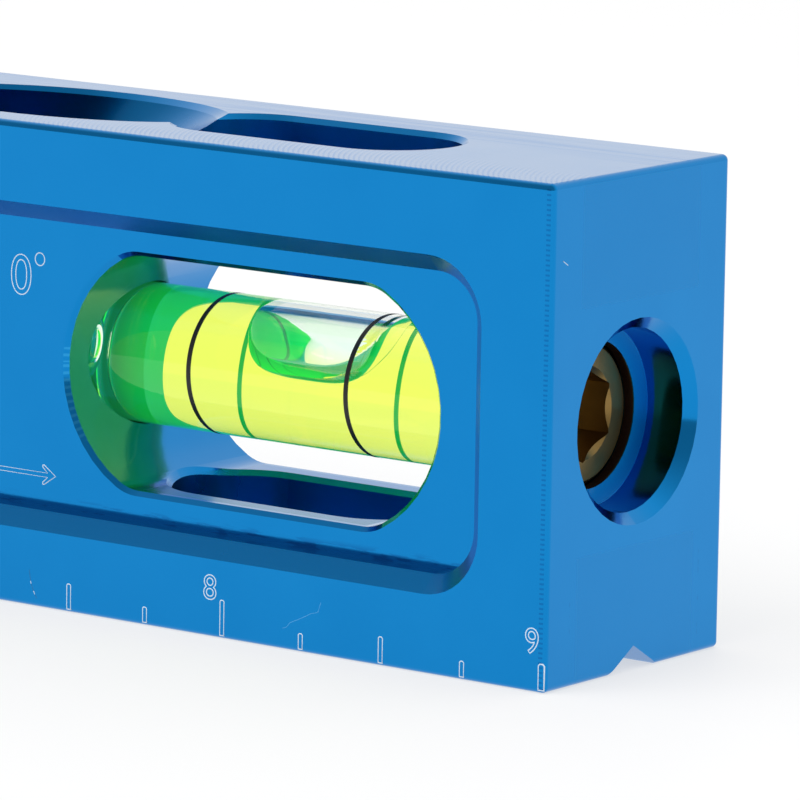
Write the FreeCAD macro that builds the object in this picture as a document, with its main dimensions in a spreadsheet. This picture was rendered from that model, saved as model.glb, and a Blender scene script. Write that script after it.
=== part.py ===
import FreeCAD, Part
import math
import os

import Sketcher
from FreeCAD import Placement, Rotation, Vector

# Electrician level: a milled aluminium bar with four spirit vials.
# The bar lies along X on its lower edge, the ruled front face looks to -Y, and the
# origin is the middle of the underside. All lengths are millimetres, angles degrees.

SIZES = {
    # bar
    "bar_length": 228.6,
    "bar_height": 31.75,
    "bar_width": 19.05,
    "edge_round": 0.4,
    "groove_width": 5.4,
    "groove_depth": 1.6,
    # sunk panel on the front and back faces: a wide 45 degree break, then a straight wall
    "panel_height": 21.4,
    "panel_end_margin": 5.27,
    "panel_corner": 4.2,
    "panel_depth": 2.55,
    "panel_break": 1.13,
    # how far panels and windows lie below the middle of the bar's height
    "panel_drop": 0.1,
    # windows through the panels: the long one's ends are a little flatter than half circles
    # and run into the straight sides through a round corner
    "window_length": 30.1,
    "window_height": 15.4,
    "window_end_ease": 0.6,
    "window_corner": 3.3,
    "window_break": 0.3,
    # how far the long window and its slot lie from the vial centre, towards the bar's middle
    "window_offset": 0.1,
    # reading slot above the level vial, which also marks the window floor
    "slot_length": 20.9,
    "slot_width": 9.4,
    "slot_floor_depth": 3.0,
    "top_break": 0.35,
    # tilt of each vial above the horizontal
    "level_tilt": 0.0,
    "slope_tilt": 30.0,
    "mitre_tilt": 45.0,
    "plumb_tilt": 90.0,
    # windows along the bar: the level and plumb ones from the bar's ends, the slope one
    # from the level one and the mitre one from the plumb one
    "end_to_window": 25.4,
    "level_to_slope": 48.65,
    "plumb_to_mitre": 63.5,
    # vial barrels
    "vial_radius": 4.65,
    "vial_clearance": 0.1,
    "chamber_radius": 3.75,
    "chamber_arch": 0.15,
    "level_end_wall": 4.05,
    "short_end_wall": 2.6,
    "vial_edge": 0.25,
    "dimple_radius": 2.1,
    "dimple_depth": 1.2,
    # reading lines
    "line_width": 0.32,
    "line_depth": 0.12,
    "level_line_gap": 12.8,
    "short_line_gap": 8.4,
    # bubbles
    "bubble_length": 10.6,
    "bubble_width": 7.2,
    "bubble_depth": 3.85,
    "level_bubble_shift": 2.1,
    # seats of the vials in their bores
    "blind_reach": 3.6,
    "holder_wall": 6.7,
    "end_mouth_radius": 5.85,
    "end_mouth_break": 0.7,
    "top_mouth_radius": 6.2,
    "step_rise": 0.28,
    # brass socket plugs
    "plug_inset": 0.55,
    "plug_length": 3.5,
    "plug_break": 0.3,
    "socket_flats": 5.5,
    "socket_depth": 2.3,
    "socket_break": 0.3,
    # magnets under the bar: one in the middle and two from each end
    "magnet_radius": 4.75,
    "magnet_length": 3.0,
    "magnet_clearance": 0.05,
    "magnet_edge": 0.3,
    "end_to_magnet": 10.3,
    "end_to_inner_magnet": 54.3,
    # how far a cutter runs past the metal, and how far one for a rim starts before it
    "overrun": 2.0,
    "rim_lead": 0.2,
}


class Term:
    """A number together with the sheet expression that it comes from."""

    def __init__(self, text, value):
        self.text = text
        self.value = value

    @staticmethod
    def of(other):
        return other if isinstance(other, Term) else Term(repr(float(other)), float(other))

    def __add__(self, other):
        other = Term.of(other)
        return Term(f"({self.text} + {other.text})", self.value + other.value)

    def __radd__(self, other):
        return Term.of(other) + self

    def __sub__(self, other):
        other = Term.of(other)
        return Term(f"({self.text} - {other.text})", self.value - other.value)

    def __rsub__(self, other):
        return Term.of(other) - self

    def __mul__(self, other):
        other = Term.of(other)
        return Term(f"({self.text} * {other.text})", self.value * other.value)

    def __rmul__(self, other):
        return Term.of(other) * self

    def __truediv__(self, other):
        other = Term.of(other)
        return Term(f"({self.text} / {other.text})", self.value / other.value)

    def __rtruediv__(self, other):
        return Term.of(other) / self

    def __neg__(self):
        return Term(f"(0 - {self.text})", -self.value)


def sine(angle):
    return Term(f"sin({angle.text})", math.sin(math.radians(angle.value)))


def cosine(angle):
    return Term(f"cos({angle.text})", math.cos(math.radians(angle.value)))


def make_sheet(doc):
    """Write every driving size into the sheet under its own alias."""
    sheet = doc.addObject("Spreadsheet::Sheet", "Sizes")
    for row, (name, value) in enumerate(SIZES.items(), start=1):
        sheet.set(f"A{row}", name.replace("_", " "))
        sheet.set(f"B{row}", repr(value))
        sheet.setAlias(f"B{row}", name)
    doc.recompute()
    return sheet


def size(name):
    return Term(f"Sizes.{name}", SIZES[name])


def bind(thing, prop, term):
    """Tie one property to the sheet."""
    thing.setExpression(prop, Term.of(term).text)


def place(thing, x=0.0, y=0.0, z=0.0, turn_axis=Vector(0, 0, 1), turn=0.0):
    """Tie the position of an object, and its turn about one axis, to the sheet."""
    turn = Term.of(turn)
    thing.Placement = Placement(Vector(), Rotation(turn_axis, 1.0))
    for coordinate, term in (("x", x), ("y", y), ("z", z)):
        bind(thing, f"Placement.Base.{coordinate}", term)
    bind(thing, "Placement.Rotation.Angle", turn)


class Bore:
    """One vial's axis: it passes through a window centre and leaves through a mouth."""

    def __init__(self, name, centre_x, half_window, mouth_radius, end_wall, line_gap, angle_name):
        self.name = name
        self.label = angle_name
        self.tilt = size(f"{name}_tilt")
        self.centre_x = centre_x
        self.centre_z = size("bar_height") / 2
        self.half_window = half_window
        self.mouth_radius = mouth_radius
        self.end_wall = end_wall
        self.line_gap = line_gap
        self.blind_end = -(half_window + size("blind_reach"))
        self.step = half_window + size("holder_wall")
        self.plug_face = self.step - size("plug_inset")
        self.vial_end = self.plug_face - size("plug_length")
        self.vial_middle = (self.blind_end + self.vial_end) / 2
        self.half_vial = (self.vial_end - self.blind_end) / 2
        self.half_chamber = self.half_vial - end_wall

    def put(self, thing, station):
        """Lay an object's own Z along the bore, its origin at a station from the window centre."""
        place(thing,
              x=self.centre_x + station * cosine(self.tilt),
              z=self.centre_z + station * sine(self.tilt),
              turn_axis=Vector(0, 1, 0),
              turn=90 - self.tilt)


def name_object(thing, label):
    thing.Label = label
    return thing


def join(doc, name, things):
    """Fuse several solids."""
    fused = doc.addObject("Part::MultiFuse", name)
    fused.Shapes = things
    return fused


def cut(doc, name, base, tool):
    """Take one solid out of another."""
    result = doc.addObject("Part::Cut", name)
    result.Base = base
    result.Tool = tool
    return result


def fix_point(sketch, index, end, x, y):
    """Hold one end of a sketch line at a place read from the sheet."""
    for kind, term in (("DistanceX", Term.of(x)), ("DistanceY", Term.of(y))):
        number = sketch.addConstraint(
            Sketcher.Constraint(kind, -1, 1, index, end, term.value))
        sketch.setExpression(f"Constraints[{number}]", term.text)


def draw_profile(sketch, corners, arches=None):
    """Close a chain of corners with lines; an arch gives a side its rise as a round arc."""
    arches = arches or {}
    corners = [(Term.of(x), Term.of(y)) for x, y in corners]
    count = len(corners)
    for index, (start, end) in enumerate(zip(corners, corners[1:] + corners[:1])):
        first = Vector(start[0].value, start[1].value, 0)
        last = Vector(end[0].value, end[1].value, 0)
        if index in arches:
            rise = arches[index].value
            side = (last - first).normalize()
            middle = (first + last) / 2 + Vector(side.y, -side.x, 0) * rise
            sketch.addGeometry(Part.Arc(first, middle, last), False)
        else:
            sketch.addGeometry(Part.LineSegment(first, last), False)
    for index in range(count):
        following = (index + 1) % count
        start_end = arc_ends(sketch, index)
        next_end = arc_ends(sketch, following)
        sketch.addConstraint(
            Sketcher.Constraint("Coincident", index, start_end[1], following, next_end[0]))
    for index, (x, y) in enumerate(corners):
        fix_point(sketch, index, arc_ends(sketch, index)[0], x, y)
    for index, rise in arches.items():
        chord = corners[(index + 1) % count][1] - corners[index][1]
        radius = (chord * chord / 4 + rise * rise) / (2 * rise)
        number = sketch.addConstraint(Sketcher.Constraint("Radius", index, radius.value))
        sketch.setExpression(f"Constraints[{number}]", radius.text)


def arc_ends(sketch, index):
    """Start and end point numbers along the chain: an arc's own ends run anticlockwise."""
    shape = sketch.Geometry[index]
    if isinstance(shape, Part.ArcOfCircle):
        turned = shape.Circle.Axis.z < 0
        return (2, 1) if turned else (1, 2)
    return 1, 2


def revolve(doc, name, corners, arches=None):
    """Turn a profile of (radius, station) corners about the Z axis."""
    sketch = doc.addObject("Sketcher::SketchObject", f"{name}_profile")
    sketch.Placement = Placement(Vector(), Rotation(Vector(1, 0, 0), 90))
    draw_profile(sketch, corners, arches)
    turned = doc.addObject("Part::Revolution", name)
    turned.Source = sketch
    turned.Axis = Vector(0, 0, 1)
    turned.Base = Vector(0, 0, 0)
    turned.Angle = 360
    turned.Solid = True
    return turned


def on_plane(body, name, role, offset=None, shift_x=None, shift_y=None):
    """Start a sketch on one of the body's own planes, moved along its normal and in it."""
    plane = next(item for item in body.Origin.OriginFeatures if item.Role == role)
    sketch = body.newObject("Sketcher::SketchObject", name)
    sketch.AttachmentSupport = (plane, [""])
    sketch.MapMode = "FlatFace"
    for coordinate, term in (("z", offset), ("x", shift_x), ("y", shift_y)):
        if term is not None:
            bind(sketch, f"AttachmentOffset.Base.{coordinate}", term)
    return sketch


def draw_rounded_rectangle(sketch, length, height, radius):
    """A rectangle with round corners about the sketch origin."""
    half_x, half_y, corner = length.value / 2, height.value / 2, radius.value
    inner_x, inner_y = half_x - corner, half_y - corner
    lines = [((-inner_x, -half_y), (inner_x, -half_y)), ((half_x, -inner_y), (half_x, inner_y)),
             ((inner_x, half_y), (-inner_x, half_y)), ((-half_x, inner_y), (-half_x, -inner_y))]
    centres = [(inner_x, -inner_y, -90), (inner_x, inner_y, 0),
               (-inner_x, inner_y, 90), (-inner_x, -inner_y, 180)]
    for first, last in lines:
        sketch.addGeometry(Part.LineSegment(Vector(*first, 0), Vector(*last, 0)), False)
    for x, y, start in centres:
        circle = Part.Circle(Vector(x, y, 0), Vector(0, 0, 1), corner)
        sketch.addGeometry(
            Part.ArcOfCircle(circle, math.radians(start), math.radians(start + 90)), False)
    for side in range(4):
        arc = 4 + side
        sketch.addConstraint(Sketcher.Constraint("Tangent", side, 2, arc, 1))
        sketch.addConstraint(Sketcher.Constraint("Tangent", arc, 2, (side + 1) % 4, 1))
    for side, kind in enumerate(("Horizontal", "Vertical", "Horizontal", "Vertical")):
        sketch.addConstraint(Sketcher.Constraint(kind, side))
    for arc in (5, 6, 7):
        sketch.addConstraint(Sketcher.Constraint("Equal", 4, arc))
    sketch.addConstraint(Sketcher.Constraint("Symmetric", 4, 3, 6, 3, -1, 1))
    measured = (("Radius", (4,), radius), ("DistanceX", (3, 1, 1, 1), length),
                ("DistanceY", (0, 1, 2, 2), height))
    for kind, ends, term in measured:
        number = sketch.addConstraint(Sketcher.Constraint(kind, *ends, term.value))
        sketch.setExpression(f"Constraints[{number}]", term.text)


def draw_window(sketch, length, height, end_radius, corner):
    """Flat top and bottom, shallow round ends and round corners, about the sketch origin."""
    half_y = height.value / 2
    reach = length.value / 2 - end_radius.value
    corner_y = half_y - corner.value
    to_corner = end_radius.value - corner.value
    corner_x = reach + math.sqrt(to_corner ** 2 - corner_y ** 2)
    turn = math.asin(corner_y / to_corner)

    def add_line(start_x, end_x, y):
        sketch.addGeometry(Part.LineSegment(Vector(start_x, y, 0), Vector(end_x, y, 0)), False)

    def add_arc(x, y, radius, start, end):
        circle = Part.Circle(Vector(x, y, 0), Vector(0, 0, 1), radius)
        sketch.addGeometry(Part.ArcOfCircle(circle, start, end), False)

    for side in (1, -1):
        opposite = 0 if side == 1 else math.pi
        add_line(-side * corner_x, side * corner_x, -side * half_y)
        add_arc(side * corner_x, -side * corner_y, corner.value,
                opposite - math.pi / 2, opposite - turn)
        add_arc(side * reach, 0, end_radius.value, opposite - turn, opposite + turn)
        add_arc(side * corner_x, side * corner_y, corner.value,
                opposite + turn, opposite + math.pi / 2)
    low_line, right_end, high_line, left_end = 0, 2, 4, 6
    corners = (1, 3, 5, 7)
    for index in range(8):
        sketch.addConstraint(Sketcher.Constraint("Tangent", index, 2, (index + 1) % 8, 1))
    sketch.addConstraint(Sketcher.Constraint("Horizontal", low_line))
    sketch.addConstraint(Sketcher.Constraint("Symmetric", right_end, 3, left_end, 3, -1, 1))
    sketch.addConstraint(Sketcher.Constraint("PointOnObject", right_end, 3, -1))
    sketch.addConstraint(Sketcher.Constraint("Equal", right_end, left_end))
    for index in corners[1:]:
        sketch.addConstraint(Sketcher.Constraint("Equal", corners[0], index))
    measured = (("Radius", (right_end,), end_radius), ("Radius", (corners[0],), corner),
                ("DistanceX", (left_end, 3, right_end, 3), length - 2 * end_radius),
                ("DistanceY", (low_line, 2, -1, 1), height / 2),
                ("DistanceY", (-1, 1, high_line, 1), height / 2))
    for kind, ends, term in measured:
        number = sketch.addConstraint(Sketcher.Constraint(kind, *ends, term.value))
        sketch.setExpression(f"Constraints[{number}]", term.text)


def draw_slot(sketch, length, width):
    """A slot with full round ends along the sketch's own x."""
    radius, reach = width.value / 2, (length.value - width.value) / 2
    for direction in (1, -1):
        start_point = Vector(-direction * reach, -direction * radius, 0)
        end_point = Vector(direction * reach, -direction * radius, 0)
        sketch.addGeometry(Part.LineSegment(start_point, end_point), False)
        circle = Part.Circle(Vector(direction * reach, 0, 0), Vector(0, 0, 1), radius)
        start = -direction * math.pi / 2
        sketch.addGeometry(Part.ArcOfCircle(circle, start, start + math.pi), False)
    for side in range(4):
        sketch.addConstraint(Sketcher.Constraint("Tangent", side, 2, (side + 1) % 4, 1))
    sketch.addConstraint(Sketcher.Constraint("Horizontal", 0))
    sketch.addConstraint(Sketcher.Constraint("Symmetric", 1, 3, 3, 3, -1, 1))
    measured = (("Radius", (1,), width / 2), ("DistanceX", (3, 3, 1, 3), length - width))
    for kind, ends, term in measured:
        number = sketch.addConstraint(Sketcher.Constraint(kind, *ends, term.value))
        sketch.setExpression(f"Constraints[{number}]", term.text)


def add_pocket(body, name, sketch, length=None, reverse=False, draft=None):
    """Cut a sketch into the body: to a depth, or right through both ways."""
    pocket = body.newObject("PartDesign::Pocket", name)
    pocket.Profile = sketch
    pocket.Reversed = reverse
    if length is None:
        pocket.Type = "ThroughAll"
        pocket.Midplane = True
    else:
        pocket.Type = "Length"
        bind(pocket, "Length", length)
    if draft is not None:
        bind(pocket, "TaperAngle", draft)
    return pocket


def break_edges(body, name, base, wanted, setback):
    """Chamfer the edges that the test picks out."""
    names = [f"Edge{number}" for number, edge in enumerate(base.Shape.Edges, start=1) if wanted(edge)]
    chamfer = body.newObject("PartDesign::Chamfer", name)
    chamfer.Base = (base, names)
    bind(chamfer, "Size", setback)
    return chamfer


def make_bar_blank(doc, level):
    """The milled bar without its bores: section, groove, sunk panels, long window and slot."""
    body = doc.addObject("PartDesign::Body", "Bar_blank")
    length, height, width = size("bar_length"), size("bar_height"), size("bar_width")

    section = on_plane(body, "Section", "YZ_Plane")
    draw_profile(section, [(-width / 2, 0), (width / 2, 0), (width / 2, height), (-width / 2, height)])
    bar = body.newObject("PartDesign::Pad", "Bar")
    bar.Profile = section
    bar.Midplane = True
    bind(bar, "Length", length)
    doc.recompute()

    rounded = body.newObject("PartDesign::Fillet", "Bar_edges")
    rounded.Base = (bar, [f"Edge{number}" for number in range(1, len(bar.Shape.Edges) + 1)])
    bind(rounded, "Radius", size("edge_round"))

    groove = on_plane(body, "Groove_section", "YZ_Plane")
    groove_half = size("groove_width") / 2
    overrun = size("overrun")
    draw_profile(groove, [(-groove_half, -overrun), (groove_half, -overrun), (groove_half, 0),
                          (0, size("groove_depth")), (-groove_half, 0)])
    add_pocket(body, "Pipe_groove", groove)

    middle_z = height / 2 - size("panel_drop")
    panel_length, panel_height = length - 2 * size("panel_end_margin"), size("panel_height")
    panel_corner, panel_break = size("panel_corner"), size("panel_break")
    for side, sign in (("Front", 1), ("Back", -1)):
        on_face = {"offset": sign * width / 2, "shift_y": middle_z}
        outline = on_plane(body, f"{side}_panel_outline", "XZ_Plane", **on_face)
        draw_rounded_rectangle(outline, panel_length - 2 * panel_break,
                               panel_height - 2 * panel_break, panel_corner - panel_break)
        add_pocket(body, f"{side}_panel", outline, size("panel_depth"), reverse=(side == "Back"))
        rim = on_plane(body, f"{side}_panel_rim", "XZ_Plane", **on_face)
        draw_rounded_rectangle(rim, panel_length, panel_height, panel_corner)
        add_pocket(body, f"{side}_panel_break", rim, panel_break,
                   reverse=(side == "Back"), draft=Term.of(-45))

    window_length, window_height = size("window_length"), size("window_height")
    end_radius = window_height / 2 + size("window_end_ease")
    corner, window_break = size("window_corner"), size("window_break")
    middle_x = level.centre_x - size("window_offset")
    place_in_face = {"shift_x": middle_x, "shift_y": middle_z}
    window = on_plane(body, "Window_outline", "XZ_Plane", **place_in_face)
    draw_window(window, window_length, window_height, end_radius, corner)
    add_pocket(body, "Long_window", window)
    for side, sign in (("Front", 1), ("Back", -1)):
        rim = on_plane(body, f"{side}_window_rim", "XZ_Plane",
                       offset=sign * (width / 2 - size("panel_depth")), **place_in_face)
        draw_window(rim, window_length + 2 * window_break, window_height + 2 * window_break,
                    end_radius + window_break, corner + window_break)
        add_pocket(body, f"{side}_window_break", rim, window_break,
                   reverse=(side == "Back"), draft=Term.of(-45))

    slot_length, slot_width = size("slot_length"), size("slot_width")
    slot_sketch = on_plane(body, "Slot_outline", "XY_Plane", offset=height, shift_x=middle_x)
    draw_slot(slot_sketch, slot_length, slot_width)
    window_floor = middle_z - window_height / 2
    slot_depth = height - window_floor + size("slot_floor_depth")
    slot = add_pocket(body, "Reading_slot", slot_sketch, slot_depth)
    doc.recompute()

    rim_levels = (height.value, window_floor.value)
    tolerance = 1e-3

    def on_slot_rim(edge):
        box = edge.BoundBox
        reach_x = max(abs(box.XMin - middle_x.value), abs(box.XMax - middle_x.value))
        reach_y = max(abs(box.YMin), abs(box.YMax))
        in_outline = (reach_x < slot_length.value / 2 + tolerance
                      and reach_y < slot_width.value / 2 + tolerance)
        is_rim = any(abs(box.ZMin - z) < tolerance and abs(box.ZMax - z) < tolerance
                     for z in rim_levels)
        return in_outline and is_rim

    break_edges(body, "Slot_edges", slot, on_slot_rim, size("top_break"))
    doc.recompute()
    return body


def make_end_bore(doc, bore):
    """Cutter for the level vial's bore: blind bore, conical step, counterbore, broken rim."""
    face = size("bar_length") / 2 - bore.centre_x
    bore_radius = size("vial_radius") + size("vial_clearance")
    rim_break, past = size("end_mouth_break"), size("overrun")
    cutter = revolve(doc, f"{bore.name}_bore", [
        (0, bore.blind_end), (bore_radius, bore.blind_end), (bore_radius, bore.step),
        (bore.mouth_radius, bore.step + size("step_rise")),
        (bore.mouth_radius, face - rim_break), (bore.mouth_radius + rim_break + past, face + past),
        (0, face + past)])
    bore.put(cutter, 0)
    return cutter


def make_top_bore(doc, bore):
    """Cutter for a vial put in from the top: blind bore, conical step, mouth, broken rim."""
    bore_radius = size("vial_radius") + size("vial_clearance")
    radius = bore.mouth_radius
    slant, rake = sine(bore.tilt), cosine(bore.tilt)
    mouth = bore.centre_z / slant
    far_end = mouth + radius * rake / slant + size("overrun")
    shaft = revolve(doc, f"{bore.name}_bore", [
        (0, bore.blind_end), (bore_radius, bore.blind_end), (bore_radius, bore.step),
        (radius, bore.step + size("step_rise")), (radius, far_end), (0, far_end)])
    bore.put(shaft, 0)

    break_size, lead = size("top_break"), size("rim_lead")
    rings = []
    for label, rise in (("under", -(break_size + lead)), ("over", lead)):
        ring = doc.addObject("Part::Ellipse", f"{bore.name}_rim_{label}")
        spread = break_size + rise
        bind(ring, "MajorRadius", radius / slant + spread)
        bind(ring, "MinorRadius", radius + spread)
        place(ring,
              x=bore.centre_x + (mouth * slant + rise) * rake / slant,
              z=size("bar_height") + rise)
        rings.append(ring)
    rim = doc.addObject("Part::Loft", f"{bore.name}_rim")
    rim.Sections = rings
    rim.Solid = True
    rim.Ruled = True
    return [shaft, rim]


def make_round_window(doc, bore):
    """Cutter for a round window with a broken rim on both panel floors."""
    width, edge = size("bar_width"), size("window_break")
    radius = size("window_height") / 2
    floor_y = width / 2 - size("panel_depth")
    past = size("rim_lead")
    cutter = revolve(doc, f"{bore.name}_window", [
        (0, -width), (radius + edge + past, -width), (radius + edge + past, -(floor_y + past)),
        (radius, -(floor_y - edge)), (radius, floor_y - edge),
        (radius + edge + past, floor_y + past), (radius + edge + past, width), (0, width)])
    place(cutter, x=bore.centre_x, z=bore.centre_z - size("panel_drop"),
          turn_axis=Vector(1, 0, 0), turn=90)
    return cutter


def magnet_places():
    half_length = size("bar_length") / 2
    end, inner = half_length - size("end_to_magnet"), half_length - size("end_to_inner_magnet")
    return [-end, -inner, Term.of(0), inner, end]


def make_magnets(doc):
    """Disc magnets in blind pockets, set no lower than the top of the groove."""
    radius, length, gap = size("magnet_radius"), size("magnet_length"), size("magnet_clearance")
    edge, face = size("magnet_edge"), size("groove_depth")
    magnets, pockets = [], []
    for number, x in enumerate(magnet_places(), start=1):
        magnet = revolve(doc, f"magnet_disc_{number}", [
            (0, 0), (radius - edge, 0), (radius, edge), (radius, length - edge),
            (radius - edge, length), (0, length)])
        place(magnet, x=x, z=face)
        magnets.append(name_object(magnet, f"magnet_{number}"))
        pocket = doc.addObject("Part::Cylinder", f"magnet_pocket_{number}")
        bind(pocket, "Radius", radius + gap)
        bind(pocket, "Height", size("overrun") + face + length)
        place(pocket, x=x, z=-size("overrun"))
        pockets.append(pocket)
    return magnets, pockets


def make_vial(doc, bore):
    """Clear tube with an arched chamber, its cap, the spirit with its bubble and the lines."""
    outer, middle, half = size("vial_radius"), bore.vial_middle, bore.half_vial
    arch, edge = size("chamber_arch"), size("vial_edge")
    end_radius = size("chamber_radius") - arch
    inner = bore.half_chamber
    line_half, line_depth = size("line_width") / 2, size("line_depth")
    groove_radius = outer - line_depth
    lines = [-bore.line_gap / 2, bore.line_gap / 2]

    wall = [(0, -inner), (end_radius, -inner), (end_radius, inner), (end_radius, half),
            (outer - edge, half), (outer, half - edge)]
    for line in reversed(lines):
        wall += [(outer, line + line_half), (groove_radius, line + line_half),
                 (groove_radius, line - line_half), (outer, line - line_half)]
    wall += [(outer, -half + edge), (outer - edge, -half), (0, -half)]
    barrel = revolve(doc, f"{bore.name}_barrel", wall, {1: arch})
    bore.put(barrel, middle)
    rim, depth = size("dimple_radius"), size("dimple_depth")
    ball_radius = (rim * rim + depth * depth) / (2 * depth)
    ball = doc.addObject("Part::Sphere", f"{bore.name}_dimple")
    bind(ball, "Radius", ball_radius)
    bore.put(ball, middle - half + depth - ball_radius)
    tube = cut(doc, f"{bore.name}_tube", barrel, ball)

    cap = revolve(doc, f"{bore.name}_cap", [(0, inner), (end_radius, inner), (end_radius, half), (0, half)])
    bore.put(cap, middle)

    chamber = revolve(doc, f"{bore.name}_chamber", [
        (0, -inner), (end_radius, -inner), (end_radius, inner), (0, inner)], {1: arch})
    bore.put(chamber, middle)
    spirit = cut(doc, f"{bore.name}_spirit", chamber, make_bubble(doc, bore))

    rings = []
    for number, line in enumerate(lines, start=1):
        ring = revolve(doc, f"{bore.name}_line_{number}", [
            (groove_radius, line - line_half), (outer, line - line_half),
            (outer, line + line_half), (groove_radius, line + line_half)])
        bore.put(ring, middle)
        rings.append(ring)
    pair = doc.addObject("Part::Compound", f"{bore.name}_lines")
    pair.Links = rings

    name_object(tube, f"vial_{bore.label}_tube")
    name_object(cap, f"vial_{bore.label}_cap")
    name_object(spirit, f"vial_{bore.label}_spirit")
    name_object(pair, f"vial_{bore.label}_lines")
    return [tube, cap, spirit, pair]


def make_bubble(doc, bore):
    """The air space: under the roof of the level vial, at the upper end of the others."""
    half_length, depth = size("bubble_length") / 2, size("bubble_depth")
    roof = size("chamber_radius")
    along = bore.half_chamber
    lift = roof * cosine(bore.tilt)
    if bore.name == "level":
        along = size("level_bubble_shift")
        lift = roof
    bubble = doc.addObject("Part::Ellipsoid", f"{bore.name}_bubble")
    bubble.Angle1 = -90
    bubble.Angle2 = 90
    bubble.Angle3 = 360
    radii = (depth, half_length, size("bubble_width") / 2)
    if bore.name != "level":
        radii = (depth, depth, depth)
    for prop, term in zip(("Radius1", "Radius2", "Radius3"), radii):
        bind(bubble, prop, term)
    station = bore.vial_middle + along
    place(bubble,
          x=bore.centre_x + station * cosine(bore.tilt) - lift * sine(bore.tilt),
          z=bore.centre_z + station * sine(bore.tilt) + lift * cosine(bore.tilt))
    return bubble


def make_plug(doc, bore):
    """Brass plug with a hexagon socket that holds the vial in its bore."""
    radius, length = size("vial_radius"), size("plug_length")
    edge, depth = size("plug_break"), size("socket_depth")
    disc = revolve(doc, f"{bore.name}_plug_disc", [
        (0, 0), (radius - edge, 0), (radius, edge), (radius, length - edge),
        (radius - edge, length), (0, length)])
    bore.put(disc, bore.vial_end)
    half_flats, lead_in, past = size("socket_flats") / 2, size("socket_break"), size("rim_lead")
    hexagon = doc.addObject("Part::Prism", f"{bore.name}_hexagon")
    hexagon.Polygon = 6
    bind(hexagon, "Circumradius", half_flats / cosine(Term.of(30)))
    bind(hexagon, "Height", depth + size("overrun"))
    bore.put(hexagon, bore.plug_face - depth)
    cone = doc.addObject("Part::Cone", f"{bore.name}_socket_edge")
    bind(cone, "Radius1", half_flats)
    bind(cone, "Radius2", half_flats + lead_in + past)
    bind(cone, "Height", lead_in + past)
    bore.put(cone, bore.plug_face - lead_in)
    plug = cut(doc, f"{bore.name}_plug", disc, join(doc, f"{bore.name}_socket", [hexagon, cone]))
    return name_object(plug, f"plug_{bore.label}")


def check(doc, nodes):
    """Stop if any object failed or any piece is empty or broken."""
    for thing in doc.Objects:
        if "Invalid" in thing.State or "Error" in thing.State:
            raise RuntimeError(f"{thing.Name} ({thing.Label}) failed: {thing.State}")
    for thing in nodes:
        if thing.Shape.isNull() or not thing.Shape.isValid():
            raise RuntimeError(f"{thing.Label} has no valid shape")


def main():
    doc = FreeCAD.newDocument("ElectricianLevel")
    make_sheet(doc)

    long_half = size("window_length") / 2
    round_half = size("window_height") / 2
    short_wall, short_gap = size("short_end_wall"), size("short_line_gap")
    top_mouth = size("top_mouth_radius")
    level_x = size("bar_length") / 2 - size("end_to_window")
    slope_x = level_x - size("level_to_slope")
    mitre_x = size("plumb_to_mitre") - level_x
    level = Bore("level", level_x, long_half, size("end_mouth_radius"),
                 size("level_end_wall"), size("level_line_gap"), "0")
    slope = Bore("slope", slope_x, round_half, top_mouth, short_wall, short_gap, "30")
    mitre = Bore("mitre", mitre_x, round_half, top_mouth, short_wall, short_gap, "45")
    plumb = Bore("plumb", -level_x, round_half, top_mouth, short_wall, short_gap, "90")

    blank = make_bar_blank(doc, level)
    magnets, cutters = make_magnets(doc)
    cutters.append(make_end_bore(doc, level))
    for bore in (slope, mitre, plumb):
        cutters += make_top_bore(doc, bore)
        cutters.append(make_round_window(doc, bore))
    bar = name_object(cut(doc, "level_bar", blank, join(doc, "Bar_cutters", cutters)), "bar")

    nodes = [bar] + magnets
    for bore in (level, slope, mitre, plumb):
        nodes += make_vial(doc, bore)
        nodes.append(make_plug(doc, bore))

    doc.recompute()
    check(doc, nodes)
    os.makedirs("parts", exist_ok=True)
    for thing in nodes:
        thing.Shape.exportStep(f"parts/{thing.Label}.step")
        print(f"{thing.Label}: {len(thing.Shape.Solids)} solids, {thing.Shape.Volume:.2f} mm3")


main()
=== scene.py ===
import math

import bmesh
import bpy
from mathutils import Matrix, Vector


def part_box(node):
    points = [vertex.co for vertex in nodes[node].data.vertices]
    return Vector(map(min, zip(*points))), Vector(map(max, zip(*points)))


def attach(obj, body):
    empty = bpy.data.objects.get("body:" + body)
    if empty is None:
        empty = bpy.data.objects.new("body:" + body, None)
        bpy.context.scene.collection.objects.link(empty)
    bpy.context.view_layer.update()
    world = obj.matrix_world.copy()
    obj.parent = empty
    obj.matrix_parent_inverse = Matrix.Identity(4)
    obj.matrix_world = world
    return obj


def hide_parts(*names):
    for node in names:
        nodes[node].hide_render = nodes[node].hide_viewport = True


# Looks of the electrician level. Everything is in metres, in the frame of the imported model:
# X along the bar, -Y out of the ruled front face, Z up from the lower edge.

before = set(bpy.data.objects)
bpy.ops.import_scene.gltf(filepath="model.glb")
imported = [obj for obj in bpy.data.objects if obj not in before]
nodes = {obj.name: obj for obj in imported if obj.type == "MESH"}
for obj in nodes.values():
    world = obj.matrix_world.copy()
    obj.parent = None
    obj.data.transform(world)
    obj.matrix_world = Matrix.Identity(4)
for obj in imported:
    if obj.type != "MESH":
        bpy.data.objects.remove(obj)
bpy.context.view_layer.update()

MM = 0.001
INCH = 25.4 * MM

# sizes that the looks share with the bar
bar_low, bar_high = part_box("bar")
HEIGHT = bar_high.z - bar_low.z
WIDTH = bar_high.y - bar_low.y
FRONT_Y = bar_low.y
END_X = bar_high.x
MID_Z = (bar_low.z + bar_high.z) / 2

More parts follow.
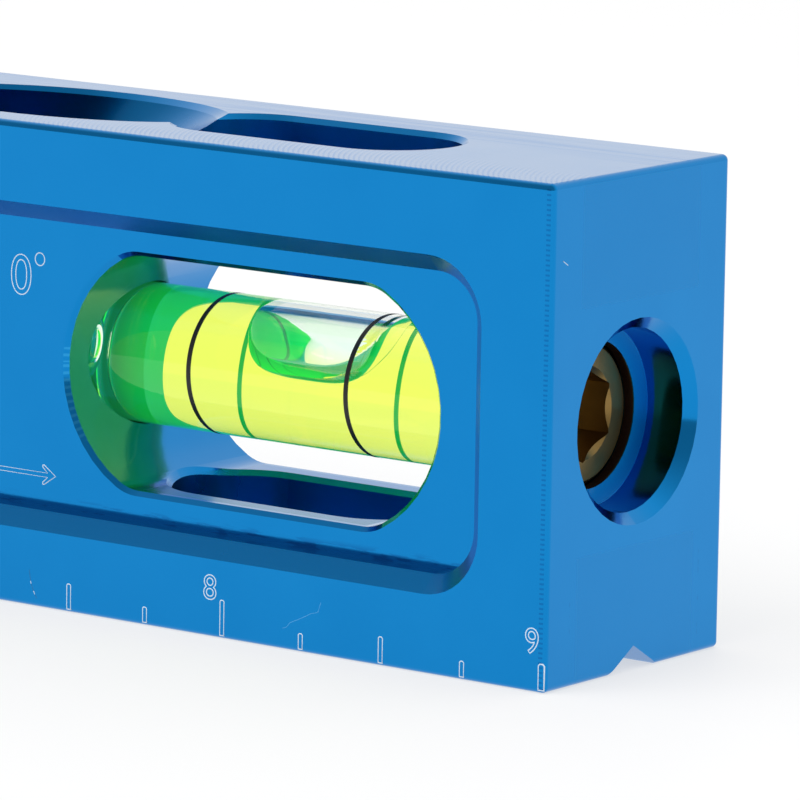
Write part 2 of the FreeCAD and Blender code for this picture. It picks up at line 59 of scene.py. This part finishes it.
# sunk panels: depth, half height at the face, 45 degree break, place below the middle
PANEL_DEPTH = 2.55 * MM
PANEL_HALF = 10.7 * MM
PANEL_BREAK = 1.13 * MM
PANEL_DROP = 0.1 * MM
PANEL_FLOOR = WIDTH / 2 - PANEL_DEPTH

# vials: place of the window along the bar, tilt in degrees
VIALS = {
    "0": {"x": END_X - INCH, "tilt": 0},
    "30": {"x": END_X - INCH - 48.65 * MM, "tilt": 30},
    "45": {"x": -(END_X - INCH) + 63.5 * MM, "tilt": 45},
    "90": {"x": -(END_X - INCH), "tilt": 90},
}
LEVEL_X = VIALS["0"]["x"]
TUBE_RADIUS = 4.65 * MM
TUBE_EDGE = 0.35 * MM
CHAMBER_RADIUS = 3.75 * MM
CHAMBER_ARCH = 0.15 * MM
LINE_WIDTH = 0.32 * MM
DIMPLE_RADIUS = 1.6 * MM
DIMPLE_DEPTH = 2.3 * MM
SEAM_DEPTH = 0.04 * MM
SEAM_HALF = 0.08 * MM
SEAMS = (1.75 * MM, 2.25 * MM)

# refraction: tube in air, spirit in the tube, spirit round its bubble
TUBE_IOR = 1.49
SPIRIT_IN_TUBE = 0.965
SPIRIT_IOR = 1.437

# face mill that cut the top
MILL_RADIUS = 14.0 * MM
MILL_PITCH = 0.4 * MM

# chatter: middle of the long window's round end, angle between dashes, pitch along the end's edge
WINDOW_END_X = LEVEL_X - 6.85 * MM
RIM_WIDTH = 0.31 * MM
DASH_ANGLE = math.radians(3.2)
DOT_PITCH = 0.31 * MM

# end hole: distances from the end and radii of the bare step and of the thread lock
STEP_RING = (3.30 * MM, 3.66 * MM, 5.8 * MM)
LOCK_RING = (3.72 * MM, 4.4 * MM, 4.85 * MM)

# steps round each turned solid
RING_STEPS = 96

WHITE = (1.0, 1.0, 1.0, 1.0)


# Materials

def new_material(name):
    material = bpy.data.materials.new(name)
    material.use_nodes = True
    tree = material.node_tree
    tree.nodes.clear()
    return material, tree


def add_node(tree, kind, inputs=None, **settings):
    node = tree.nodes.new(kind)
    for key, value in settings.items():
        setattr(node, key, value)
    for key, value in (inputs or {}).items():
        if isinstance(value, bpy.types.NodeSocket):
            tree.links.new(value, node.inputs[key])
        else:
            node.inputs[key].default_value = value
    return node


def finish_material(tree, surface, volume=None):
    output = add_node(tree, "ShaderNodeOutputMaterial")
    tree.links.new(surface, output.inputs["Surface"])
    if volume is not None:
        tree.links.new(volume, output.inputs["Volume"])


class Field:
    """A number that varies over a surface, used in ordinary sums."""

    def __init__(self, tree, socket):
        self.tree, self.socket = tree, socket

    def math(self, operation, *others):
        return calculate(self.tree, operation, self, *others)

    def __add__(self, other):
        return self.math("ADD", other)

    def __sub__(self, other):
        return self.math("SUBTRACT", other)

    def __mul__(self, other):
        return self.math("MULTIPLY", other)

    def inverse(self):
        return calculate(self.tree, "SUBTRACT", 1.0, self)

    def above(self, limit):
        return self.math("GREATER_THAN", limit)

    def below(self, limit):
        return self.math("LESS_THAN", limit)

    def between(self, low, high):
        return self.above(low) * self.below(high)

    def size(self):
        return self.math("ABSOLUTE")

    def wave(self, pitch):
        return (self * (2 * math.pi / pitch)).math("SINE")

    def ramp(self, start, end, low=0.0, high=1.0):
        node = add_node(self.tree, "ShaderNodeMapRange",
                        {"Value": self.socket, "From Min": start, "From Max": end,
                         "To Min": low, "To Max": high})
        return Field(self.tree, node.outputs["Result"])


def calculate(tree, operation, *values):
    """Field made by one math node from fields and numbers."""
    node = tree.nodes.new("ShaderNodeMath")
    node.operation = operation
    for slot, value in enumerate(values):
        if isinstance(value, Field):
            tree.links.new(value.socket, node.inputs[slot])
        else:
            node.inputs[slot].default_value = value
    return Field(tree, node.outputs[0])


def parts_of(tree, vector):
    """X, Y and Z of a vector socket, as fields."""
    split = add_node(tree, "ShaderNodeSeparateXYZ", {"Vector": vector})
    return [Field(tree, split.outputs[axis]) for axis in "XYZ"]


def noise(tree, scale, detail=3.0, stretch=(1.0, 1.0, 1.0)):
    """Noise about the size 1 / scale metres, drawn out along the axes by the stretch."""
    coordinates = add_node(tree, "ShaderNodeTexCoord")
    mapping = add_node(tree, "ShaderNodeMapping",
                       {"Vector": coordinates.outputs["Object"], "Scale": stretch})
    node = add_node(tree, "ShaderNodeTexNoise",
                    {"Vector": mapping.outputs["Vector"], "Scale": scale, "Detail": detail})
    return Field(tree, node.outputs["Fac"])


def bump(tree, height):
    """Surface normal from a height field in millimetres."""
    node = add_node(tree, "ShaderNodeBump",
                    {"Height": height.socket, "Strength": 1.0, "Distance": MM})
    return node.outputs["Normal"]


def mix_colors(tree, amount, first, second):
    """Colour going from the first to the second as the amount goes from 0 to 1."""
    node = tree.nodes.new("ShaderNodeMix")
    node.data_type = "RGBA"
    tree.links.new(amount.socket, node.inputs[0])
    for slot, value in ((6, first), (7, second)):
        if isinstance(value, bpy.types.NodeSocket):
            tree.links.new(value, node.inputs[slot])
        else:
            node.inputs[slot].default_value = value
    return node.outputs[2]


def make_anodised():
    """Blue anodised aluminium with the marks that each cutter left, and a ragged darker band along the
    foot of the panels.
    """
    material, tree = new_material("anodised_blue")
    coordinates = add_node(tree, "ShaderNodeTexCoord")
    x, y, z = parts_of(tree, coordinates.outputs["Object"])
    upward = parts_of(tree, coordinates.outputs["Normal"])[2]
    mottle = noise(tree, 160.0, 3.0)
    grain = noise(tree, 5000.0, 3.0)

    # top: arcs of the face mill near the front edge, long streaks elsewhere
    on_top = z.above(HEIGHT - 0.05 * MM) * upward.above(0.9)
    arc_x = x + (calculate(tree, "SUBTRACT", MILL_RADIUS ** 2, y * y)).math("SQRT")
    near_front = y.ramp(-3.0 * MM, -7.0 * MM)
    arcs = arc_x.wave(MILL_PITCH) * near_front * noise(tree, 300.0, 2.0).ramp(0.3, 0.6)
    streaks = noise(tree, 2500.0, 4.0, (0.012, 1.0, 1.0)) * y.ramp(-6.0 * MM, 1.0 * MM)
    height = grain * 0.0008 + on_top * (arcs * 0.0045 + streaks * 0.006)
    cut_lines = on_top * (arcs.ramp(-0.2, 0.8) + streaks.ramp(0.52, 0.66)).math("MINIMUM", 1.0)

    # front, back and end: a fine lay of the cutter
    lay = noise(tree, 3000.0, 3.0, (1.0, 1.0, 0.12))
    height = height + on_top.inverse() * lay * 0.0012

    # chatter on the break round the long window's end and along the end's upright edge
    depth, rise = y.size(), z - MID_Z
    from_end = x - WINDOW_END_X
    on_rim = depth.between(PANEL_FLOOR - RIM_WIDTH, PANEL_FLOOR - 0.005 * MM) * from_end.below(0.0)
    turn = rise.math("ARCTAN2", from_end)
    dashes = on_rim * rise.between(-5.0 * MM, 1.0 * MM) * turn.wave(DASH_ANGLE).ramp(0.0, 0.6)
    on_corner = x.between(END_X - 0.5 * MM, END_X - 0.12 * MM) * y.below(FRONT_Y + 0.05 * MM)
    dots = on_corner * z.wave(DOT_PITCH).ramp(0.0, 0.6)

    # ragged darker band on the panel floor along its foot
    foot = MID_Z - PANEL_DROP - PANEL_HALF + PANEL_BREAK
    on_floor = depth.between(PANEL_FLOOR - 0.02 * MM, PANEL_FLOOR + 0.02 * MM)
    on_foot = on_floor * z.ramp(foot + 0.8 * MM, foot + 0.3 * MM)
    ragged_dark_band = noise(tree, 3500.0, 3.0, (0.14, 1.0, 1.0)).ramp(0.54, 0.6) * on_foot

    # walls of the panels, the reading slot and the groove: rougher than the faces
    in_pocket = (rise.size().above(7.8 * MM) * depth.below(6.3 * MM)
                 * z.between(0.1 * MM, HEIGHT - 0.35 * MM))
    on_wall = (depth.between(PANEL_FLOOR + 0.02 * MM, WIDTH / 2 - 0.02 * MM)
               * rise.size().below(12.0 * MM) * x.size().below(END_X - 0.6 * MM))

    # bore of the level vial: bare step, and thread lock round the plug
    from_axis = (y * y + rise * rise).math("SQRT")
    on_step, on_lock = (
        x.between(END_X - far, END_X - near) * from_axis.below(radius)
        for near, far, radius in (STEP_RING, LOCK_RING))

    patches = mottle.ramp(0.3, 0.7)
    blue = mix_colors(tree, patches, (0.001, 0.220, 0.582, 1.0), (0.002, 0.232, 0.604, 1.0))
    dark = mix_colors(tree, (dots * 0.5).math("MAXIMUM", ragged_dark_band * 0.6), blue, (0.0, 0.09, 0.33, 1.0))
    light = mix_colors(tree, dashes * 0.35, dark, (0.05, 0.45, 0.85, 1.0))
    color = mix_colors(tree, on_lock, light, (0.06, 0.035, 0.030, 1.0))
    milled = mottle.ramp(0.3, 0.7, 0.11, 0.16) + (in_pocket + on_wall) * 0.16
    roughness = milled.math("MAXIMUM", (on_step + on_lock) * 0.45)
    shader = add_node(tree, "ShaderNodeBsdfPrincipled", {
        "Base Color": color,
        "Metallic": 1.0,
        "Roughness": roughness.socket,
        "Specular Tint": mix_colors(tree, cut_lines, WHITE, (0.72, 0.82, 0.95, 1.0)),
        "Coat Weight": 0.38,
        "Coat Roughness": 0.1,
        "Coat IOR": 1.3,
        "Normal": bump(tree, height),
    })
    finish_material(tree, shader.outputs["BSDF"])
    return material


def make_clear(name, ior, tint, painted_glow=0.0):
    """Clear solid; its glow is painted light, an emission standing in for the green light that the spirit
    sends along the tube.
    """
    material, tree = new_material(name)
    ripples = noise(tree, 700.0, 2.0)
    shader = add_node(tree, "ShaderNodeBsdfPrincipled", {
        "Base Color": tint,
        "Roughness": ripples.ramp(0.3, 0.7, 0.0, 0.01).socket,
        "IOR": ior,
        "Transmission Weight": 1.0,
    })
    light = None
    if painted_glow:
        light = add_node(tree, "ShaderNodeEmission",
                         {"Color": (0.03, 1.0, 0.22, 1.0), "Strength": painted_glow}).outputs["Emission"]
    finish_material(tree, shader.outputs["BSDF"], light)
    return material


def make_spirit():
    """Yellow-green liquid with a painted green glow, an emission in place of the dye's fluorescence; its
    outside touches the clear tube, and its bubble holds air.
    """
    material, tree = new_material("spirit")
    ripples = noise(tree, 500.0, 2.0)
    bubble = add_node(tree, "ShaderNodeAttribute", attribute_name="bubble")
    shader = add_node(tree, "ShaderNodeBsdfPrincipled", {
        "Base Color": WHITE,
        "Roughness": ripples.ramp(0.3, 0.7, 0.0, 0.004).socket,
        "IOR": Field(tree, bubble.outputs["Fac"]).ramp(0.0, 1.0, SPIRIT_IN_TUBE, SPIRIT_IOR).socket,
        "Transmission Weight": 1.0,
    })
    absorb = add_node(tree, "ShaderNodeVolumeAbsorption",
                      {"Color": (0.968, 0.79, 0.0, 1.0), "Density": 307.0})
    # painted glow: a green emission standing in for the dye's fluorescence
    painted_glow = add_node(tree, "ShaderNodeEmission", {"Color": (0.0, 1.0, 0.24, 1.0), "Strength": 50.0})
    dye_and_painted_glow = add_node(tree, "ShaderNodeAddShader",
                    {0: absorb.outputs["Volume"], 1: painted_glow.outputs["Emission"]})
    finish_material(tree, shader.outputs["BSDF"], dye_and_painted_glow.outputs["Shader"])
    return material


def make_metal(name, color, roughness, line_scale):
    """Bare metal with fine lines and darker stains."""
    material, tree = new_material(name)
    stained = tuple(0.8 * channel for channel in color[:3]) + (1.0,)
    rings = noise(tree, line_scale, 3.0)
    stain = noise(tree, 400.0, 3.0)
    shader = add_node(tree, "ShaderNodeBsdfPrincipled", {
        "Base Color": mix_colors(tree, stain.ramp(0.35, 0.65), color, stained),
        "Metallic": 1.0,
        "Roughness": stain.ramp(0.3, 0.7, roughness, roughness + 0.12).socket,
        "Normal": bump(tree, rings * 0.006),
    })
    finish_material(tree, shader.outputs["BSDF"])
    return material


def make_paint(name, color, roughness):
    """Dull coat with a fine grain."""
    material, tree = new_material(name)
    grain = noise(tree, 6000.0, 2.0)
    shader = add_node(tree, "ShaderNodeBsdfPrincipled", {
        "Base Color": color,
        "Roughness": grain.ramp(0.3, 0.7, roughness, roughness + 0.15).socket,
        "Normal": bump(tree, grain * 0.003),
    })
    finish_material(tree, shader.outputs["BSDF"])
    return material


anodised = make_anodised()
# the tube gets a painted green glow, an emission in place of the spirit's light carried along it
tube_clear = make_clear("clear_acrylic", TUBE_IOR, WHITE, painted_glow=17.0)
cap_clear = make_clear("cap_acrylic", 1.02, (0.97, 1.0, 0.93, 1.0))
spirit = make_spirit()
brass = make_metal("brass", (0.33, 0.21, 0.07, 1.0), 0.3, 3000.0)
nickel = make_metal("nickel", (0.66, 0.66, 0.64, 1.0), 0.25, 5000.0)
black = make_paint("black_line", (0.006, 0.006, 0.006, 1.0), 0.4)
marks_and_glints = make_paint("marks_and_glints", (0.60, 0.72, 0.84, 1.0), 0.5)
scratched = make_paint("scratch", (0.10, 0.38, 0.75, 1.0), 0.4)
dented = make_paint("dent", (0.02, 0.10, 0.22, 1.0), 0.4)


# Building

def wear(thing, material):
    """Give a thing one material."""
    thing.data.materials.clear()
    thing.data.materials.append(material)
    return thing


def add_mesh(name, mesh_data, material):
    mesh = bpy.data.meshes.new(name)
    mesh_data.to_mesh(mesh)
    mesh_data.free()
    thing = bpy.data.objects.new(name, mesh)
    bpy.context.scene.collection.objects.link(thing)
    return wear(thing, material)


def revolve(name, profile, vial, material):
    """Turn (radius, station) corners about a vial's axis; station 0 is the window's centre."""
    shape = bmesh.new()
    rings = []
    for radius, station in profile:
        if radius == 0:
            rings.append([shape.verts.new((0, 0, station))])
            continue
        rings.append([
            shape.verts.new((radius * math.cos(2 * math.pi * i / RING_STEPS),
                             radius * math.sin(2 * math.pi * i / RING_STEPS), station))
            for i in range(RING_STEPS)])
    for first, second in zip(rings, rings[1:]):
        for i in range(RING_STEPS):
            j = (i + 1) % RING_STEPS
            corners = [first[i % len(first)], first[j % len(first)],
                       second[j % len(second)], second[i % len(second)]]
            kept = list(dict.fromkeys(corners))
            if len(kept) > 2:
                shape.faces.new(kept)
    bmesh.ops.recalc_face_normals(shape, faces=shape.faces)
    for face in shape.faces:
        face.smooth = True
    lean = Matrix.Rotation(math.radians(90 - vial["tilt"]), 4, "Y")
    shape.transform(Matrix.Translation((vial["x"], 0, MID_Z)) @ lean)
    return add_mesh(name, shape, material)


def sharpen(thing, degrees=35):
    """Keep corners crisp while round walls shade smoothly."""
    mesh = thing.data
    shape = bmesh.new()
    shape.from_mesh(mesh)
    limit = math.radians(degrees)
    for edge in shape.edges:
        if len(edge.link_faces) == 2 and edge.calc_face_angle() > limit:
            edge.smooth = False
    shape.to_mesh(mesh)
    shape.free()
    return thing


# stations along each vial's axis: blind end, cap end, chamber ends and the two lines
LONG = {"low": -18.65, "high": 17.7, "chamber": 14.125, "gap": 12.8}
SHORT = {"low": -11.3, "high": 10.35, "chamber": 8.225, "gap": 8.4}


def build_vial(angle):
    """Tube, spirit and the two reading lines of one vial."""
    vial = VIALS[angle]
    run = LONG if angle == "0" else SHORT
    low, high = run["low"] * MM, run["high"] * MM
    middle = (low + high) / 2
    half = run["chamber"] * MM

    quarter = [math.pi / 2 * i / 16 for i in range(17)]
    hollow = [(DIMPLE_RADIUS * math.sin(a), low + DIMPLE_DEPTH * math.cos(a)) for a in quarter]
    seam = []
    for distance in SEAMS:
        at = low + distance
        seam += [(TUBE_RADIUS, at - 2 * SEAM_HALF), (TUBE_RADIUS, at - SEAM_HALF),
                 (TUBE_RADIUS - SEAM_DEPTH, at),
                 (TUBE_RADIUS, at + SEAM_HALF), (TUBE_RADIUS, at + 2 * SEAM_HALF)]
    edge = [(TUBE_RADIUS - TUBE_EDGE * (1 - math.sin(a)), low + TUBE_EDGE * (1 - math.cos(a)))
            for a in quarter[::4]] + [(TUBE_RADIUS, low + TUBE_EDGE + 0.1 * MM)]
    tube = revolve(f"tube_{angle}", hollow + edge + seam + [
        (TUBE_RADIUS, high - TUBE_EDGE), (TUBE_RADIUS - TUBE_EDGE, high), (0, high)],
        vial, tube_clear)
    sharpen(tube)
    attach(tube, "root")
    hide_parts(f"vial_{angle}_tube")

    steps = 24
    wall = []
    for i in range(steps + 1):
        across = 2 * i / steps - 1
        wall.append((CHAMBER_RADIUS - CHAMBER_ARCH * across ** 2, middle + half * across))
    rounding = 1.2 * MM
    corner = [(wall[0][0] - rounding * (1 - math.sin(a)), wall[0][1] + rounding * (1 - math.cos(a)))
              for a in quarter]
    liquid = revolve(f"spirit_{angle}", [(0, wall[0][1])] + corner + wall[1:] + [(0, wall[-1][1])],
                     vial, spirit)
    if angle == "0":
        hollow_bubble(liquid)
    sharpen(liquid, 50)
    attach(liquid, "root")
    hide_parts(f"vial_{angle}_spirit")

    for number, side in enumerate((-1, 1), start=1):
        at = middle + side * run["gap"] * MM / 2
        inner, outer = TUBE_RADIUS - 0.12 * MM, TUBE_RADIUS + 0.006 * MM
        ring = revolve(f"line_{angle}_{number}", [
            (inner, at - LINE_WIDTH / 2), (outer, at - LINE_WIDTH / 2),
            (outer, at + LINE_WIDTH / 2), (inner, at + LINE_WIDTH / 2),
            (inner, at - LINE_WIDTH / 2)], vial, black)
        sharpen(ring)
        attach(ring, "root")
        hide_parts(f"vial_{angle}_lines")


def hollow_bubble(liquid):
    """Long hollow under the roof of the spirit, flat below with a round rim."""
    half_length, half_width, depth, shift = 5.3 * MM, 3.65 * MM, 3.85 * MM, 1.6 * MM
    roof = CHAMBER_RADIUS - 0.03 * MM
    squareness = (0.62, 0.5, 0.5)
    shape = bmesh.new()
    shape.from_mesh(liquid.data)
    inside = shape.verts.layers.float.new("bubble")
    ball = bmesh.ops.create_uvsphere(shape, u_segments=128, v_segments=96, radius=1.0)["verts"]
    for vert in ball:
        along, across, up = (math.copysign(abs(v) ** s, v) for v, s in zip(vert.co, squareness))
        across *= half_width
        up = CHAMBER_RADIUS + up * depth
        reach = math.hypot(across, up)
        if reach > roof:
            across, up = across * roof / reach, up * roof / reach
        vert.co = (LEVEL_X + shift + along * half_length, across, MID_Z + up)
        vert[inside] = 1.0
    walls = list({face for vert in ball for face in vert.link_faces})
    bmesh.ops.reverse_faces(shape, faces=walls)
    for face in walls:
        face.smooth = True
    bmesh.ops.remove_doubles(shape, verts=ball, dist=0.002 * MM)
    shape.to_mesh(liquid.data)
    shape.free()


for angle in VIALS:
    build_vial(angle)
    wear(nodes[f"vial_{angle}_cap"], cap_clear)
    wear(nodes[f"plug_{angle}"], brass)
wear(nodes["bar"], anodised)
for number in range(1, 6):
    wear(nodes[f"magnet_{number}"], nickel)


# Marks engraved in the front face and the panel, as thin light outlines

MARK_LINE = 0.05 * MM
MARK_SINK = 0.03 * MM
PANEL_Y = FRONT_Y + PANEL_DEPTH


def draw_lines(name, paths, closed=True, radius=MARK_LINE, material=marks_and_glints):
    """Thin round lines along paths of (x, y, z) points."""
    curve = bpy.data.curves.new(name, "CURVE")
    curve.dimensions = "3D"
    curve.bevel_depth = radius
    curve.bevel_resolution = 2
    for path in paths:
        spline = curve.splines.new("POLY")
        spline.points.add(len(path) - 1)
        for point, place in zip(spline.points, path):
            point.co = (*place, 1.0)
        spline.use_cyclic_u = closed
    thing = bpy.data.objects.new(name, curve)
    bpy.context.scene.collection.objects.link(thing)
    wear(thing, material)
    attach(thing, "root")


def write(name, text, place, anchor, foot, height, plane_y):
    """Outlined figures on an upright plane; the anchor is the share of them left of the place."""
    letters = bpy.data.curves.new(name, "FONT")
    letters.body = text
    letters.fill_mode = "NONE"
    letters.size = 0.01
    letters.resolution_u = 8
    thing = bpy.data.objects.new(name, letters)
    bpy.context.scene.collection.objects.link(thing)
    settled = thing.evaluated_get(bpy.context.evaluated_depsgraph_get())
    mesh = bpy.data.meshes.new_from_object(settled)
    bpy.data.objects.remove(thing)
    outline = bmesh.new()
    outline.from_mesh(mesh)
    low = [min(vert.co[axis] for vert in outline.verts) for axis in (0, 1)]
    high = [max(vert.co[axis] for vert in outline.verts) for axis in (0, 1)]
    scale = height / (high[1] - low[1])
    left = place - anchor * (high[0] - low[0]) * scale
    paths = []
    ahead = {vert: set(edge.other_vert(vert) for edge in vert.link_edges) for vert in outline.verts}
    while ahead:
        vert = next(iter(ahead))
        path = []
        while vert is not None:
            path.append((left + (vert.co.x - low[0]) * scale, plane_y + MARK_SINK,
                         foot + (vert.co.y - low[1]) * scale))
            near = ahead.pop(vert)
            vert = next((other for other in near if other in ahead), None)
        paths.append(path)
    outline.free()
    draw_lines(name, paths)


def build_ticks():
    """Quarter-inch marks and their numerals; the last mark stands just inside the end."""
    heights = {0: 2.3, 1: 1.0, 2: 1.67, 3: 1.0}
    foot, plane_y = 0.22 * MM, FRONT_Y + MARK_SINK
    paths = []
    for quarter in range(1, 37):
        top = foot + heights[quarter % 4] * MM
        x, half = -END_X + quarter * INCH / 4, 0.16 * MM
        if quarter == 36:
            x, half, top = END_X - 0.25 * MM, 0.22 * MM, foot + 1.65 * MM
        paths.append([(x - half, plane_y, foot), (x + half, plane_y, foot),
                      (x + half, plane_y, top - half / 2), (x + half / 2, plane_y, top),
                      (x - half / 2, plane_y, top), (x - half, plane_y, top - half / 2)])
    draw_lines("ruler_ticks", paths)
    for inch in range(1, 10):
        middle = -END_X + inch * INCH - 1.0 * MM
        write(f"ruler_{inch}", str(inch), middle, 0.5, 2.45 * MM, 1.6 * MM, FRONT_Y)


def build_labels():
    """The angle beside each window, and an arrow by the level one."""
    for angle, vial in VIALS.items():
        edge = 15.5 * MM if angle == "0" else 8.0 * MM
        ring_x = vial["x"] - edge - 1.95 * MM
        write(f"label_{angle}", angle, ring_x - 0.75 * MM, 1.0, 19.95 * MM, 2.65 * MM, PANEL_Y)
        ring = [(ring_x + 0.4 * MM * math.cos(math.radians(t)), PANEL_Y + MARK_SINK,
                 22.44 * MM + 0.42 * MM * math.sin(math.radians(t))) for t in range(0, 360, 12)]
        draw_lines(f"degree_{angle}", [ring])
    half_arrow = [(-7.6, 0.14), (-0.67, 0.14), (-1.08, 0.50), (-1.10, 0.62), (-0.98, 0.66)]
    points = half_arrow + [(0.0, 0.0)] + [(x, -z) for x, z in reversed(half_arrow)]
    draw_lines("arrow", [[(LEVEL_X - 16.0 * MM + x * MM, PANEL_Y + MARK_SINK, 8.23 * MM + z * MM)
                          for x, z in points]])


def build_wear():
    """The small scratches and nicks on the front and the end, with painted glints on the score."""
    face = FRONT_Y + 0.008 * MM
    hair = [(4.90, 1.38), (5.22, 1.49), (5.50, 1.82), (6.13, 2.10), (6.69, 2.37), (7.16, 2.63),
            (7.72, 2.78), (7.88, 3.24), (7.95, 3.45)]
    draw_lines("scratch_hair", [[(LEVEL_X + x * MM, face, z * MM) for x, z in hair]],
               closed=False, radius=0.016 * MM, material=scratched)
    score = [(-16.05, 2.40), (-15.96, 1.85), (-15.88, 1.5), (-15.7, 1.1), (-15.56, 0.82), (-15.4, 0.58)]
    draw_lines("scratch_score", [[(LEVEL_X + x * MM, face, z * MM) for x, z in score]],
               closed=False, radius=0.018 * MM, material=dented)
    # painted glints: two light spots drawn on the score as highlights
    glints = (((-15.93, 1.68), (-15.89, 1.5)), ((-15.68, 1.05), (-15.57, 0.83)))
    draw_lines("scratch_glints", [[(LEVEL_X + x * MM, face, z * MM) for x, z in part] for part in glints],
               closed=False, radius=0.028 * MM, material=marks_and_glints)
    side = END_X - 0.008 * MM
    nick = [(side, FRONT_Y + 1.15 * MM, 26.9 * MM), (side, FRONT_Y + 1.65 * MM, 26.6 * MM)]
    draw_lines("nick_end", [nick], closed=False, radius=0.028 * MM, material=marks_and_glints)


build_ticks()
build_labels()
build_wear()


# Stage: floor, light and camera

def build_floor():
    """Pale floor that looks almost white to the camera and keeps the shadow."""
    material, tree = new_material("floor")
    rough = noise(tree, 300.0, 2.0)
    shader = add_node(tree, "ShaderNodeBsdfPrincipled", {
        "Base Color": (0.90, 0.90, 0.90, 1.0), "Roughness": 0.6,
        "Normal": bump(tree, rough * 0.0005)})
    white = add_node(tree, "ShaderNodeEmission", {"Color": WHITE, "Strength": 1.0})
    rays = add_node(tree, "ShaderNodeLightPath")
    camera, through, mirrored = (
        Field(tree, rays.outputs[f"Is {kind} Ray"]) for kind in ("Camera", "Transmission", "Glossy"))
    seen = (camera + through) * 0.6 + mirrored * 0.8
    both = add_node(tree, "ShaderNodeMixShader", {0: seen.socket, 1: shader.outputs["BSDF"],
                                                  2: white.outputs["Emission"]})
    finish_material(tree, both.outputs["Shader"])
    shape = bmesh.new()
    reach = 6.0
    shape.faces.new([shape.verts.new((x * reach, y * reach, 0.0))
                     for x, y in ((-1, -1), (1, -1), (1, 1), (-1, 1))])
    floor = add_mesh("floor", shape, material)


def build_world():
    """White all round, but metal sees a darker room on the camera's side."""
    world = bpy.data.worlds.new("studio")
    bpy.context.scene.world = world
    world.use_nodes = True
    tree = world.node_tree
    coordinates = add_node(tree, "ShaderNodeTexCoord")
    along = parts_of(tree, coordinates.outputs["Generated"])[1]
    rays = add_node(tree, "ShaderNodeLightPath")
    darker = along.ramp(0.4, -0.4, 0.07, 0.60) * Field(tree, rays.outputs["Is Glossy Ray"])
    background = tree.nodes["Background"]
    background.inputs["Color"].default_value = WHITE
    tree.links.new(darker.inverse().socket, background.inputs["Strength"])


def add_lamp(name, place, target, size, power):
    """Soft lamp that lights the floor and the spirit, but isn't mirrored in the metal."""
    lamp = bpy.data.lights.new(name, "AREA")
    lamp.shape = "RECTANGLE"
    lamp.size, lamp.size_y = size
    lamp.energy = power
    thing = bpy.data.objects.new(name, lamp)
    bpy.context.scene.collection.objects.link(thing)
    thing.location = place
    thing.visible_glossy = False
    thing.rotation_euler = (Vector(target) - Vector(place)).to_track_quat("-Z", "Y").to_euler()


def build_camera():
    """Camera fitted to the photograph's corners and ruler marks."""
    azimuth, elevation, roll = (math.radians(a) for a in (36.897, 9.790, 0.897))
    camera = bpy.data.cameras.new("camera")
    camera.sensor_width = 36.0
    camera.lens = 309.35
    camera.clip_start, camera.clip_end = 0.05, 50.0
    thing = bpy.data.objects.new("camera", camera)
    bpy.context.scene.collection.objects.link(thing)
    turn = (Matrix.Rotation(azimuth, 4, "Z") @ Matrix.Rotation(math.pi / 2 - elevation, 4, "X")
            @ Matrix.Rotation(roll, 4, "Z"))
    thing.matrix_world = Matrix.Translation((355.945 * MM, -346.659 * MM, 89.857 * MM)) @ turn
    bpy.context.scene.camera = thing


build_floor()
build_world()
add_lamp("key", (-0.1, -0.5, 0.8), (0.06, 0, 0.0), (0.6, 0.6), 3.0)
build_camera()
bpy.context.scene.view_settings.view_transform = "Standard"
